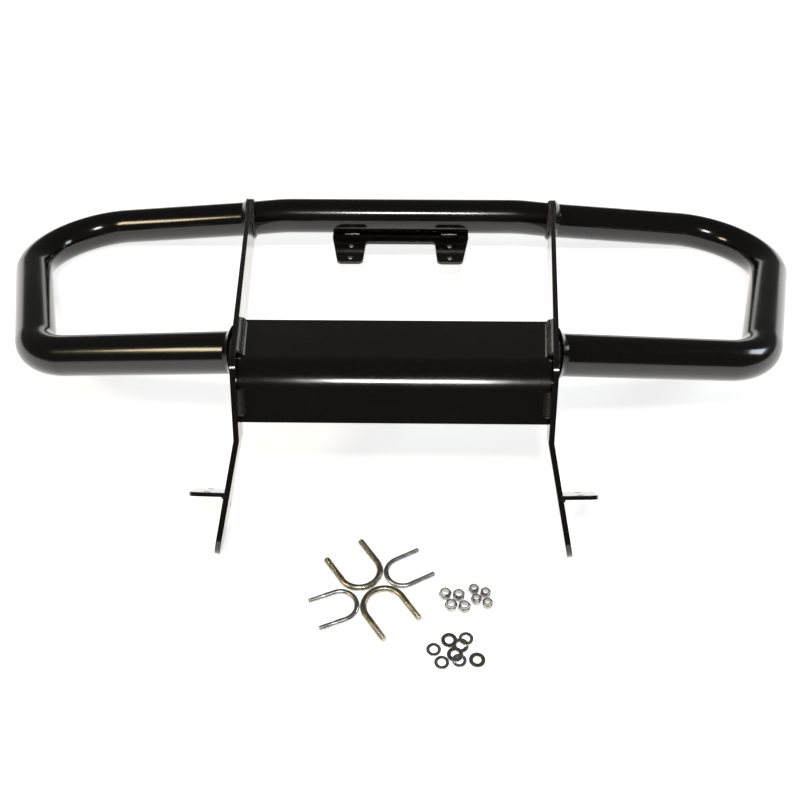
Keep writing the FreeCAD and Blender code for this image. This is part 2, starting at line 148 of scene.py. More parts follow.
LARGE_U = UBoltSizes(rod=7.94, inside=38.1, leg=35.0, pitch=1.411, threaded=25.0)
SMALL_U = UBoltSizes(rod=6.35, inside=31.0, leg=30.5, pitch=1.27, threaded=20.0)


# ------------------------------------------------------------------ where the plates stand
class PlateFrame:
    """Turns places on the right-hand plate into places in the row frame."""

    def __init__(self, sizes: PlateSizes, bow: float, run: float) -> None:
        """Work out the plate's directions and find its place from the bracket's box.

        Args:
            sizes: how the plate stands.
            bow: how far the center rail's middle stands forward of its ends.
            run: how far in from the plates the center rail's bends are.
        """
        self.sizes = sizes
        rake, lean = math.radians(sizes.rake), math.radians(sizes.lean)
        self.up = Vector((math.sin(lean), math.cos(lean) * math.cos(rake),
                          -math.cos(lean) * math.sin(rake)))
        self.forward = Vector((0.0, math.sin(rake), math.cos(rake)))
        self.out = self.up.cross(self.forward)
        self.half_w = TubeSizes.od / 2.0 + sizes.margin
        self.origin = Vector((sizes.half_gap, sizes.rail_y, 0.0))
        low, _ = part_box("accessory_bracket")
        rail = self.at(sizes.rail_spacing, 0.0, sizes.thickness) + Vector((-run, 0.0, bow))
        self.shift_y = low.y / MM - (rail.y - BracketSizes.ear)
        self.origin.y += self.shift_y
        self.origin.z += low.z / MM - (rail.z - BracketSizes.drop - BracketSizes.thickness)

    def at(self, up: float, forward: float, out: float = 0.0) -> Vector:
        """Return the place, in millimetres, at plate coordinates."""
        return self.origin + self.up * up + self.forward * forward + self.out * out

    def foot(self, down: float, back: float, out: float = 0.0) -> Vector:
        """Return the place at foot coordinates, before the foot is flared."""
        turn = math.radians(self.sizes.foot_turn)
        up = -self.sizes.nose_below_rail - math.cos(turn) * down + math.sin(turn) * back
        forward = self.half_w - math.sin(turn) * down - math.cos(turn) * back
        return self.at(up, forward, out)

    def flare_axis(self) -> Vector:
        """Return the direction of the foot's bend axis."""
        return (self.foot(0.0, 0.0) - self.foot(0.0, 1.0)).normalized()

    def flare(self) -> Matrix:
        """Return the turn that flares the foot outwards about its bend."""
        reach = self.sizes.thickness + self.sizes.foot_bend_r
        place = self.foot(self.sizes.foot_bend_at, 0.0, reach)
        turn = Matrix.Rotation(math.radians(self.sizes.foot_flare), 4, self.flare_axis())
        return Matrix.Translation(place) @ turn @ Matrix.Translation(-place)


# ------------------------------------------------------------------ finishes
class Nodes:
    """A short hand for building one material's node tree."""

    def __init__(self, name: str) -> None:
        """Make an empty material with a Principled shader and Object coordinates."""
        self.material = bpy.data.materials.new(name)
        self.material.use_nodes = True
        self.tree = self.material.node_tree
        self.shader = self.tree.nodes["Principled BSDF"]
        self.coords = self.tree.nodes.new("ShaderNodeTexCoord").outputs["Object"]

    def add(self, kind: str, inputs: Optional[Dict] = None, **settings):
        """Add a node, set its settings and fill or link its inputs.

        Args:
            kind: the node's type.
            inputs: input name or number to a value or to an output socket.
            settings: the node's own properties.

        Returns:
            The new node.
        """
        node = self.tree.nodes.new(kind)
        for key, value in settings.items():
            setattr(node, key, value)
        for key, value in (inputs or {}).items():
            self.fill(node.inputs[key], value)
        return node

    def fill(self, socket, value) -> None:
        """Link an output to a socket, or set the socket's own value."""
        if isinstance(value, bpy.types.NodeSocket):
            self.tree.links.new(value, socket)
        else:
            socket.default_value = value

    def noise(self, scale: float, detail: float = 2.0, stretch: Optional[Place] = None):
        """Return the factor output of a noise pattern on Object coordinates."""
        vector = self.coords
        if stretch:
            vector = self.add("ShaderNodeMapping", {"Vector": vector, "Scale": stretch}).outputs[0]
        made = self.add("ShaderNodeTexNoise", {"Vector": vector, "Scale": scale, "Detail": detail})
        return made.outputs["Fac"]

    def span(self, factor, low: float, high: float, to_low: float, to_high: float):
        """Return a factor mapped from one span to another and kept inside it."""
        inputs = {"Value": factor, "From Min": low, "From Max": high,
                  "To Min": to_low, "To Max": to_high}
        return self.add("ShaderNodeMapRange", inputs).outputs["Result"]

    def times(self, first, second):
        """Return the product of two factors."""
        return self.add("ShaderNodeMath", {0: first, 1: second}, operation="MULTIPLY").outputs[0]

    def plus(self, first, second):
        """Return the sum of two factors."""
        return self.add("ShaderNodeMath", {0: first, 1: second}, operation="ADD").outputs[0]

    def mix(self, factor, first, second):
        """Return the mix of two colours."""
        node = self.add("ShaderNodeMix", {"Factor": factor}, data_type="RGBA")
        self.fill(node.inputs[6], first)
        self.fill(node.inputs[7], second)
        return node.outputs[2]

    def bump(self, height, strength: float, distance: float, under=None):
        """Return a bumped normal, over another one when it is given."""
        inputs = {"Height": height, "Strength": strength, "Distance": distance}
        if under is not None:
            inputs["Normal"] = under
        return self.add("ShaderNodeBump", inputs).outputs["Normal"]

    def shade(self, **values) -> None:
        """Set the shader's inputs, with _ for each space in their names."""
        for key, value in values.items():
            self.fill(self.shader.inputs[key.replace("_", " ")], value)


@dataclass(frozen=True)
class PowderCoat:
    """Gloss black powder coat: orange peel, settled dust and small flecks."""

    name: str
    colour: Tuple[float, float, float, float] = (0.0034, 0.0029, 0.0025, 1.0)
    dust: Tuple[float, float, float, float] = (0.026, 0.023, 0.019, 1.0)
    gloss: Tuple[float, float] = (0.11, 0.19)
    peel: float = 0.045
    settle: float = 0.09

    def build(self) -> bpy.types.Material:
        """Return the finished material."""
        made = Nodes(self.name)
        patches = made.noise(7.0, 4.0)
        fine = made.noise(160.0, 3.0)
        normal = made.add("ShaderNodeNewGeometry").outputs["Normal"]
        upward = made.add("ShaderNodeSeparateXYZ", {0: normal}).outputs["Z"]
        lying = made.span(upward, 0.35, 1.0, 0.0, self.settle)
        dusty = made.times(lying, made.span(fine, 0.42, 0.75, 0.15, 1.0))
        flecks = made.add("ShaderNodeTexVoronoi", {"Vector": made.coords, "Scale": 95.0})
        speck = made.span(flecks.outputs["Distance"], 0.035, 0.06, 1.0, 0.0)
        some = made.span(made.noise(21.0), 0.63, 0.67, 0.0, 0.4)
        colour = made.mix(dusty, self.colour, self.dust)
        colour = made.mix(made.times(speck, some), colour, (0.2, 0.19, 0.17, 1.0))
        rough = made.span(patches, 0.3, 0.7, self.gloss[0], self.gloss[1])
        rough = made.plus(rough, made.times(dusty, 0.5))
        peel = made.bump(made.noise(430.0, 1.5), self.peel, 0.0004)
        flow = made.bump(made.noise(55.0, 1.0), 0.03, 0.002, peel)
        made.shade(Base_Color=colour, Roughness=rough, Normal=flow, IOR=1.5,
                   Coat_Weight=0.35, Coat_Roughness=0.09)
        return made.material


@dataclass(frozen=True)
class ZincPlate:
    """Electroplated zinc: blotchy tint, drawn scratches and dull spots."""

    name: str
    light: Tuple[float, float, float, float]
    deep: Tuple[float, float, float, float]
    stain: Tuple[float, float, float, float] = (0.17, 0.15, 0.12, 1.0)
    gloss: Tuple[float, float] = (0.24, 0.42)

    def build(self) -> bpy.types.Material:
        """Return the finished material."""
        made = Nodes(self.name)
        blotch = made.span(made.noise(120.0, 4.0), 0.35, 0.68, 0.0, 1.0)
        colour = made.mix(blotch, self.light, self.deep)
        spots = made.span(made.noise(430.0, 5.0), 0.56, 0.72, 0.0, 0.7)
        colour = made.mix(spots, colour, self.stain)
        scratch = made.noise(900.0, 2.0, (1.0, 0.12, 1.0))
        rough = made.span(made.noise(260.0, 3.0), 0.3, 0.7, self.gloss[0], self.gloss[1])
        cast = made.bump(made.noise(1500.0, 3.0), 0.12, 0.0002)
        normal = made.bump(scratch, 0.10, 0.0002, cast)
        made.shade(Base_Color=colour, Metallic=1.0, Roughness=rough, Normal=normal)
        return made.material


@dataclass(frozen=True)
class Nylon:
    """The natural nylon ring of a lock nut."""

    name: str = "natural_nylon"

    def build(self) -> bpy.types.Material:
        """Return the finished material."""
        made = Nodes(self.name)
        colour = made.mix(made.span(made.noise(500.0, 3.0), 0.3, 0.7, 0.0, 1.0),
                          (0.62, 0.61, 0.56, 1.0), (0.46, 0.45, 0.41, 1.0))
        made.shade(Base_Color=colour, Normal=made.bump(made.noise(1800.0), 0.1, 0.0002),
                   Roughness=made.span(made.noise(300.0), 0.3, 0.7, 0.38, 0.55), Subsurface_Weight=0.1)
        return made.material


@dataclass(frozen=True)
class StudioFloor:
    """The plain pale floor."""

    name: str = "studio_floor"

    def build(self) -> bpy.types.Material:
        """Return the finished material."""
        made = Nodes(self.name)
        made.shade(Base_Color=(0.93, 0.93, 0.93, 1.0), Roughness=0.85,
                   Emission_Color=(1.0, 1.0, 1.0, 1.0), Emission_Strength=0.8)
        return made.material


class Finishes:
    """Every finish of the object, built once."""

    def __init__(self) -> None:
        """Build the materials."""
        self.tube = PowderCoat("gloss_black_tube").build()
        self.plate = PowderCoat("gloss_black_plate", colour=(0.0042, 0.0034, 0.0028, 1.0),
                                peel=0.055).build()
        self.weld = PowderCoat("gloss_black_weld", gloss=(0.16, 0.26), peel=0.15, settle=0.1).build()
        self.yellow = ZincPlate("yellow_zinc", (0.60, 0.56, 0.46, 1.0), (0.42, 0.38, 0.28, 1.0)).build()
        self.clear = ZincPlate("clear_zinc", (0.66, 0.66, 0.67, 1.0), (0.48, 0.48, 0.50, 1.0)).build()
        self.nut = ZincPlate("nut_zinc", (0.52, 0.51, 0.49, 1.0), (0.36, 0.355, 0.34, 1.0)).build()
        self.washer = ZincPlate("washer_zinc", (0.50, 0.49, 0.45, 1.0), (0.36, 0.35, 0.31, 1.0)).build()
        self.nylon = Nylon().build()


# ------------------------------------------------------------------ geometry trees
class Tree:
    """A short hand for building one geometry node tree."""

    def __init__(self, name: str, inputs: Sequence[Tuple[str, str]]) -> None:
        """Make the tree with its named inputs and one geometry output.

        Args:
            name: the tree's name.
            inputs: each input's name and its socket kind.
        """
        self.tree = bpy.data.node_groups.new(name, "GeometryNodeTree")
        sockets = self.tree.interface
        sockets.new_socket("Geometry", in_out="INPUT", socket_type="NodeSocketGeometry")
        for label, kind in inputs:
            sockets.new_socket(label, in_out="INPUT", socket_type="NodeSocket" + kind)
        sockets.new_socket("Geometry", in_out="OUTPUT", socket_type="NodeSocketGeometry")
        self.given = self.tree.nodes.new("NodeGroupInput").outputs

    def add(self, kind: str, inputs: Optional[Dict] = None, **settings):
        """Add a node, set its settings and fill or link its inputs."""
        node = self.tree.nodes.new(kind)
        for key, value in settings.items():
            setattr(node, key, value)
        for key, value in (inputs or {}).items():
            if isinstance(value, bpy.types.NodeSocket):
                self.tree.links.new(value, node.inputs[key])
            else:
                node.inputs[key].default_value = value
        return node

    def end(self, geometry) -> bpy.types.NodeTree:
        """Smooth, realize and paint the geometry, and return the whole tree."""
        smooth = self.add("GeometryNodeSetShadeSmooth", {"Geometry": geometry})
        real = self.add("GeometryNodeRealizeInstances", {"Geometry": smooth.outputs[0]})
        inputs = {"Geometry": real.outputs[0], "Material": self.given["Material"]}
        painted = self.add("GeometryNodeSetMaterial", inputs)
        self.add("NodeGroupOutput", {0: painted.outputs[0]})
        return self.tree


def bent_bar_tree() -> bpy.types.NodeTree:
    """Return the tree that turns a line into a round closed bar along it."""
    made = Tree("bent_bar", (("Radius", "Float"), ("Sides", "Int"), ("Material", "Material")))
    line = made.add("GeometryNodeMeshToCurve", {"Mesh": made.given["Geometry"]})
    ring = made.add("GeometryNodeCurvePrimitiveCircle",
                    {"Radius": made.given["Radius"], "Resolution": made.given["Sides"]})
    bar = made.add("GeometryNodeCurveToMesh",
                   {"Curve": line.outputs[0], "Profile Curve": ring.outputs[0], "Fill Caps": True})
    return made.end(bar.outputs[0])


def weld_ripple_tree() -> bpy.types.NodeTree:
    """Return the tree that lays overlapping weld ripples along a line."""
    made = Tree("weld_ripples", (("Pitch", "Float"), ("Across", "Float"), ("Along", "Float"),
                                 ("Seed", "Int"), ("Material", "Material")))
    line = made.add("GeometryNodeMeshToCurve", {"Mesh": made.given["Geometry"]})
    spots = made.add("GeometryNodeCurveToPoints",
                     {"Curve": line.outputs[0], "Length": made.given["Pitch"]}, mode="LENGTH")
    drop = made.add("GeometryNodeMeshUVSphere", {"Segments": 14, "Rings": 9, "Radius": 1.0})
    size = made.add("ShaderNodeCombineXYZ", {"X": made.given["Across"], "Y": made.given["Across"],
                                             "Z": made.given["Along"]})
    vary = made.add("FunctionNodeRandomValue", {"Seed": made.given["Seed"]}, data_type="FLOAT")
    vary.inputs[2].default_value = 0.88
    vary.inputs[3].default_value = 1.08
    scale = made.add("ShaderNodeVectorMath", {0: size.outputs[0], "Scale": vary.outputs[1]},
                     operation="SCALE")
    laid = made.add("GeometryNodeInstanceOnPoints",
                    {"Points": spots.outputs["Points"], "Instance": drop.outputs["Mesh"],
                     "Rotation": spots.outputs["Rotation"], "Scale": scale.outputs[0]})
    return made.end(laid.outputs[0])


def thread_tree() -> bpy.types.NodeTree:
    """Return the tree that winds one thread ridge up the Z axis."""
    made = Tree("thread_ridge", (("Radius", "Float"), ("Turns", "Float"), ("Height", "Float"),
                                 ("Ridge", "Float"), ("Material", "Material")))
    inputs = {"Resolution": 20, "Rotations": made.given["Turns"], "Start Radius": made.given["Radius"],
              "End Radius": made.given["Radius"], "Height": made.given["Height"]}
    helix = made.add("GeometryNodeCurveSpiral", inputs)
    ridge = made.add("GeometryNodeCurvePrimitiveCircle",
                     {"Radius": made.given["Ridge"], "Resolution": 4})
    wound = made.add("GeometryNodeCurveToMesh",
                     {"Curve": helix.outputs[0], "Profile Curve": ridge.outputs[0], "Fill Caps": True})
    return made.end(wound.outputs[0])


# ------------------------------------------------------------------ mesh helpers
class Workshop:
    """Makes plain meshes out of trees, lines, turned sections and CAD copies."""

    def __init__(self) -> None:
        """Build the trees that the pieces share."""
        self.bar = bent_bar_tree()
        self.ripples = weld_ripple_tree()
        self.thread = thread_tree()

    def grown(self, tree: bpy.types.NodeTree, base: bpy.types.Mesh, values: Dict) -> bpy.types.Mesh:
        """Run a tree on a mesh and return the plain result.

        Args:
            tree: the geometry node tree.
            base: the mesh the tree is given.
            values: input name to value.

        Returns:
            A new mesh without instances or modifiers.
        """
        worker = bpy.data.objects.new("worker", base)
        bpy.context.scene.collection.objects.link(worker)
        modifier = worker.modifiers.new("grow", "NODES")
        modifier.node_group = tree
        for item in tree.interface.items_tree:
            if item.in_out == "INPUT" and item.name in values:
                modifier[item.identifier] = values[item.name]
        bpy.context.view_layer.update()
        graph = bpy.context.evaluated_depsgraph_get()
        mesh = bpy.data.meshes.new_from_object(worker.evaluated_get(graph), depsgraph=graph)
        worker.modifiers.remove(modifier)
        bpy.data.objects.remove(worker)
        return mesh

    def line(self, points: Sequence[Vector], closed: bool = False) -> bpy.types.Mesh:
        """Return a mesh of edges through places given in millimetres."""
        mesh = bpy.data.meshes.new("line")
        count = len(points)
        edges = [(k, (k + 1) % count) for k in range(count if closed else count - 1)]
        mesh.from_pydata([tuple(point * MM) for point in points], edges, [])
        return mesh

    def bar_along(self, points: Sequence[Vector], radius: float, sides: int,
                  material: bpy.types.Material) -> bpy.types.Mesh:
        """Return a round closed bar along places given in millimetres."""
        values = {"Radius": radius * MM, "Sides": sides, "Material": material}
        return self.grown(self.bar, self.line(points), values)

    def turned(self, section: Sequence[Tuple[float, float]], sides: int, place: Matrix,
               material: bpy.types.Material, ring: bool = False) -> bpy.types.Mesh:
        """Return a solid turned about Z from (radius, height) pairs in millimetres.

        Args:
            section: the outline, from one end of the axis to the other.
            sides: how many facets go round.
            place: where the turned piece goes, in millimetres.
            material: its finish.
            ring: True when the outline is closed and stays clear of the axis.

        Returns:
            A closed mesh in metres.
        """
        made = bmesh.new()
        rows = []
        for radius, height in section:
            row = [made.verts.new((radius * math.cos(a), radius * math.sin(a), height))
                   for a in (2.0 * math.pi * k / sides for k in range(sides))]
            rows.append(row)
        pairs = list(zip(rows, rows[1:])) + ([(rows[-1], rows[0])] if ring else [])
        for low, high in pairs:
            for k in range(sides):
                made.faces.new((low[k], low[(k + 1) % sides], high[(k + 1) % sides], high[k]))
        if not ring:
            made.faces.new(list(reversed(rows[0])))
            made.faces.new(rows[-1])
        bmesh.ops.recalc_face_normals(made, faces=made.faces)
        return self.packed(made, place, material)

    def packed(self, made: bmesh.types.BMesh, place: Matrix,
               material: bpy.types.Material) -> bpy.types.Mesh:
        """Return a finished smooth mesh in metres, and free the working one."""
        mesh = bpy.data.meshes.new("part")
        made.to_mesh(mesh)
        made.free()
        mesh.transform(Matrix.Scale(MM, 4) @ place)
        mesh.materials.append(material)
        for face in mesh.polygons:
            face.use_smooth = True
        return mesh

    def joined(self, name: str, meshes: Iterable[bpy.types.Mesh], material: bpy.types.Material,
               body: str, nodes: Sequence[str], slot: str) -> bpy.types.Object:
        """Join meshes into one named piece that stands for its CAD nodes.

        Args:
            name: the piece's name.
            meshes: the meshes, in metres and in place.
            material: the piece's finish.
            body: the CAD body it rides on.
            nodes: the CAD nodes it stands for.
            slot: not used.

        Returns:
            The new object.
        """
        made = bmesh.new()
        for mesh in meshes:
            made.from_mesh(mesh)
        whole = bpy.data.meshes.new(name)
        made.to_mesh(whole)
        made.free()
        whole.materials.clear()
        whole.materials.append(material)
        for face in whole.polygons:
            face.material_index = 0
        piece = bpy.data.objects.new(name, whole)
        bpy.context.scene.collection.objects.link(piece)
        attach(piece, body)
        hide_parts(*nodes)
        LOG.info("%s: %d faces", name, len(whole.polygons))
        return piece

    def softened(self, node: str, edge: float, material: bpy.types.Material,
                 steps: int = 3, sharp: float = 28.0) -> bpy.types.Mesh:
        """Return a copy of a CAD node's mesh with its sharp edges rounded.

        Args:
            node: the CAD node.
            edge: how wide each rounded edge is, in millimetres.
            material: its finish.
            steps: how many facets round an edge.
            sharp: the angle, in degrees, from which an edge is rounded.

        Returns:
            A new mesh in metres.
        """
        made = bmesh.new()
        made.from_mesh(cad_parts[node].data)
        bmesh.ops.remove_doubles(made, verts=made.verts, dist=MERGE_M)
        bmesh.ops.dissolve_limit(made, angle_limit=math.radians(FLAT_DEG), verts=made.verts,
                                 edges=made.edges)
        copy = bpy.data.meshes.new("soft")
        made.to_mesh(copy)
        made.free()
        copy.materials.clear()
        copy.materials.append(material)
        for face in copy.polygons:
            face.use_smooth = True
            face.material_index = 0
        worker = bpy.data.objects.new("worker", copy)
        bpy.context.scene.collection.objects.link(worker)
        bevel = worker.modifiers.new("edges", "BEVEL")
        bevel.width = edge * MM
        bevel.segments = steps
        bevel.limit_method = "ANGLE"
        bevel.angle_limit = math.radians(sharp)
        bevel.harden_normals = False
        worker.modifiers.new("normals", "WEIGHTED_NORMAL").keep_sharp = False
        bpy.context.view_layer.update()
        graph = bpy.context.evaluated_depsgraph_get()
        mesh = bpy.data.meshes.new_from_object(worker.evaluated_get(graph), depsgraph=graph)
        bpy.data.objects.remove(worker)
        return mesh

    def kept(self, mesh: bpy.types.Mesh, name: str, body: str, nodes: Sequence[str],
             slot: str) -> bpy.types.Object:
        """Make one piece of a mesh as it is, with its own normals, for its CAD nodes."""
        mesh.name = name
        piece = bpy.data.objects.new(name, mesh)
        bpy.context.scene.collection.objects.link(piece)
        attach(piece, body)
        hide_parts(*nodes)
        LOG.info("%s: %d faces", name, len(mesh.polygons))
        return piece


def arc_run(points: Sequence[Vector], radii: Sequence[float], step: float = 2.0) -> List[Vector]:
    """Return the places along straight runs joined by tangent arcs.

    Args:
        points: the ends and the corners, in millimetres.
        radii: one radius for each corner.
        step: how many degrees each facet of an arc turns.

    Returns:
        The places, in order.
    """
    route = [points[0]]
    for index, radius in enumerate(radii, start=1):
        corner = points[index]
        before = (points[index - 1] - corner).normalized()
        after = (points[index + 1] - corner).normalized()
        half = before.angle(after) / 2.0
        start = corner + before * (radius / math.tan(half))
        middle = corner + (before + after).normalized() * (radius / math.sin(half))
        axis = before.cross(after).normalized()
        sweep = math.pi - 2.0 * half
        count = max(4, round(math.degrees(sweep) / step))
        spoke = start - middle
        sign = 1.0 if (Matrix.Rotation(0.01, 3, axis) @ spoke - spoke).dot(-before) > 0.0 else -1.0
        for k in range(count + 1):
            route.append(middle + Matrix.Rotation(sign * sweep * k / count, 3, axis) @ spoke)
    route.append(points[-1])
    return route


def flipped(points: Sequence[Vector], side: Side) -> List[Vector]:
    """Return the places on the wanted side of the centre plane."""
    return [Vector((point.x * side.value, point.y, point.z)) for point in points]


# ------------------------------------------------------------------ sub-assemblies
@dataclass
class TubeWork:
    """The center rail and the two wings."""

    shop: Workshop
    plates: PlateFrame
    finishes: Finishes
    sizes: TubeSizes = field(default_factory=TubeSizes)
    seat: float = 2.6

    def wing_corners(self) -> List[Vector]:
        """Return the right wing's corner places, upper end first."""
        upper = self.plates.at(self.plates.sizes.rail_spacing, 0.0)
        lower = self.plates.at(0.0, 0.0)
        return [upper, upper + Vector(self.sizes.upper_leg),
                lower + Vector(self.sizes.lower_leg), lower]

    def seated(self, corners: Sequence[Vector]) -> List[Vector]:
        """Return the wing's corners with both ends set into the plate's thickness."""
        moved = list(corners)
        for end, corner in ((0, 1), (3, 2)):
            along = (corners[corner] - corners[end]).normalized()
            reach = (self.plates.sizes.thickness - self.seat) / along.dot(self.plates.out)
            moved[end] = corners[end] + along * reach
        return moved

    def center_corners(self, inset: float) -> List[Vector]:
        """Return the center rail's corner places.

        Args:
            inset: how far in from the plates' outer faces the rail's ends are.

        Returns:
            The two ends and the two bends, left end first.
        """
        end = self.plates.at(self.plates.sizes.rail_spacing, 0.0, self.plates.sizes.thickness)
        knee = end + Vector((-self.sizes.center_run, 0.0, self.sizes.center_bow))
        along = (knee - end).normalized()
        end = end - along * (inset / along.dot(self.plates.out))
        return [Vector((-end.x, end.y, end.z)), Vector((-knee.x, knee.y, knee.z)), knee, end]

    def build(self) -> None:
        """Build the three bent tubes."""
        radius = self.sizes.od / 2.0 - TUBE_SLACK
        route = arc_run(self.center_corners(self.plates.sizes.thickness - self.seat),
                        (self.sizes.center_bend_r,) * 2, 1.0)
        mesh = self.shop.bar_along(route, radius, self.sizes.sides, self.finishes.tube)
        self.shop.joined("center_rail", [mesh], self.finishes.tube, "guard", ["center_tube"],
                         "tube_black")
        bends = (self.sizes.upper_bend_r, self.sizes.lower_bend_r)
        route = arc_run(self.seated(self.wing_corners()), bends, 1.5)
        for side in Side:
            mesh = self.shop.bar_along(flipped(route, side), radius, self.sizes.sides,
                                       self.finishes.tube)
            self.shop.joined(f"{side.word}_wing", [mesh], self.finishes.tube, "guard",
                             [f"{side.word}_wing_tube"], "tube_black")


@dataclass
class PlateWork:
    """The side plates, nose panel, foot tabs and lamp bracket."""

    shop: Workshop
    finishes: Finishes
    plate_edge: float = 1.4
    sheet_edge: float = 0.7

    def build(self) -> None:
        """Build the five plate pieces and their twins."""
        pieces = [("nose_sheet", "nose_panel", self.sheet_edge),
                  ("lamp_bracket", "accessory_bracket", self.sheet_edge)]
        for side in Side:
            pieces.append((f"{side.word}_plate", f"{side.word}_side_plate", self.plate_edge))
            pieces.append((f"{side.word}_tab", f"{side.word}_foot_tab", self.sheet_edge))
        for name, node, edge in pieces:
            mesh = self.shop.softened(node, edge, self.finishes.plate)
            self.shop.kept(mesh, name, "guard", [node], "plate_black")


@dataclass
class WeldWork:
    """The rippled weld beads."""

    shop: Workshop
    plates: PlateFrame
    tubes: TubeWork
    finishes: Finishes
    leg: float = 4.4
    tab_leg: float = 3.6
    panel_leg: float = 8.0
    bracket_leg: float = 3.4
    pitch: float = 2.3
    along: float = 1.9
    swell: float = 0.62
    ring_lift: float = 0.22
    panel_lift: float = 2.2

    def ripples(self, points: Sequence[Vector], leg: float, seed: int,
                closed: bool = False) -> bpy.types.Mesh:
        """Return ripples laid along a line of places."""
        values = {"Pitch": self.pitch * MM, "Across": leg * self.swell * MM, "Along": self.along * MM,
                  "Seed": seed, "Material": self.finishes.weld}
        return self.shop.grown(self.shop.ripples, self.shop.line(points, closed), values)

    def ring(self, place: Vector, along: Vector, normal: Vector) -> List[Vector]:
        """Return the places round a tube where it leaves a plate's face.

        Args:
            place: where the tube's axis crosses the face.
            along: the way the tube leaves.
            normal: the face's normal on that side.

        Returns:
            The closed ring, lifted into the corner.
        """
        first = along.orthogonal().normalized()
        second = along.cross(first)
        radius = self.tubes.sizes.od / 2.0
        ring = []
        for k in range(72):
            angle = math.radians(5.0 * k)
            spoke = first * math.cos(angle) + second * math.sin(angle)
            on_wall = place + spoke * radius
            on_wall = on_wall - along * ((on_wall - place).dot(normal) / along.dot(normal))
            ring.append(on_wall + (spoke + normal) * (self.leg * self.ring_lift))
        return ring

    def wing_rings(self) -> List[List[Vector]]:
        """Return the right wing's two weld rings."""
        corners = self.tubes.wing_corners()
        thickness = self.plates.sizes.thickness
        rings = []
        for end, corner in ((0, 1), (3, 2)):
            along = (corners[corner] - corners[end]).normalized()
            place = corners[end] + along * (thickness / along.dot(self.plates.out))
            rings.append(self.ring(place, along, self.plates.out))
        return rings

    def center_ring(self) -> List[Vector]:
        """Return the weld ring at the right end of the center rail."""
        corners = self.tubes.center_corners(self.plates.sizes.thickness)
        along = (corners[2] - corners[3]).normalized()
        return self.ring(corners[3], along, -self.plates.out)

    def straight(self, start: Vector, end: Vector, count: int = 12) -> List[Vector]:
        """Return evenly spaced places from start to end."""
        return [start.lerp(end, k / (count - 1.0)) for k in range(count)]

    def tab_line(self) -> List[Vector]:
        """Return the bead line under the right tab, turned and flared with it."""
        pivot = self.plates.foot(TabSizes.at, 0.0, self.plates.sizes.thickness)
        turn = Matrix.Rotation(-math.radians(TabSizes.turn), 4, self.plates.out)
        tilt = Matrix.Rotation(-math.radians(TabSizes.tilt), 4, self.plates.flare_axis())
        turn = Matrix.Translation(pivot) @ tilt @ turn @ Matrix.Translation(-pivot)
        turn = self.plates.flare() @ turn
        down = TabSizes.at + TabSizes.thickness + 0.7
        out = self.plates.sizes.thickness + 0.9
        ends = [turn @ self.plates.foot(down, back, out) for back in (5.0, TabSizes.depth - 5.0)]
        return self.straight(*ends)

    def panel_lines(self) -> List[List[Vector]]:
        """Return the right-hand bead lines on the nose panel's two faces."""
        sizes = self.plates.sizes
        turn = math.radians(sizes.foot_turn)
        back = PanelSizes.setback
        down = (back - back * math.cos(turn)) / math.sin(turn)
        nose = self.plates.foot(down, back)
        top = nose + self.plates.up * PanelSizes.upper
        bottom = self.plates.foot(down + PanelSizes.lower, back)
        lower_out = (self.plates.foot(0.0, 0.0) - self.plates.foot(0.0, 1.0)).normalized()
        lines = []
        for end, face_out in ((top, self.plates.forward), (bottom, lower_out)):
            along = (end - nose).normalized()
            lift = (face_out - self.plates.out) * self.panel_lift
            first = nose + along * PanelSizes.bend_run + lift
            last = end - along * PanelSizes.end_run + lift
            lines.append(self.straight(first, last, 24))
        return lines

    def bracket_lines(self) -> List[List[Vector]]:
        """Return the two bead lines between the bracket and the center rail."""
        low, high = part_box("bracket_welds")
        y, z = low.y / MM + 2.6, low.z / MM + 0.9
        reach = BracketSizes.neck / 4.0
        mids = (-BracketSizes.pitch / 2.0, BracketSizes.pitch / 2.0)
        return [self.straight(Vector((mid - reach, y, z)), Vector((mid + reach, y, z))) for mid in mids]

    def build(self) -> None:
        """Build every weld bead."""
        weld = self.finishes.weld
        for number, side in enumerate(Side):
            rings = [self.ripples(flipped(ring, side), self.leg, 3 + number, True)
                     for ring in self.wing_rings()]
            rings.append(self.shop.softened(f"{side.word}_wing_welds", 0.3, weld, 1))
            self.shop.joined(f"{side.word}_wing_beads", rings, weld, "guard",
                             [f"{side.word}_wing_welds"], "weld_black")
            tab = [self.ripples(flipped(self.tab_line(), side), self.tab_leg, 11 + number)]
            tab.append(self.shop.softened(f"{side.word}_tab_weld", 0.3, weld, 1))
            self.shop.joined(f"{side.word}_tab_bead", tab, weld, "guard",
                             [f"{side.word}_tab_weld"], "weld_black")
        rings = [self.ripples(flipped(self.center_ring(), side), self.leg, 7, True) for side in Side]
        rings.append(self.shop.softened("center_welds", 0.3, weld, 1))
        self.shop.joined("center_rail_beads", rings, weld, "guard", ["center_welds"], "weld_black")
        lines = [self.ripples(flipped(line, side), self.panel_leg, 19)
                 for line in self.panel_lines() for side in Side]
        lines.append(self.shop.softened("panel_welds", 0.3, weld, 1))
        self.shop.joined("nose_sheet_beads", lines, weld, "guard", ["panel_welds"], "weld_black")
        lines = [self.ripples(line, self.bracket_leg, 23) for line in self.bracket_lines()]
        lines.append(self.shop.softened("bracket_welds", 0.2, weld, 1))
        self.shop.joined("lamp_bracket_beads", lines, weld, "guard", ["bracket_welds"], "weld_black")


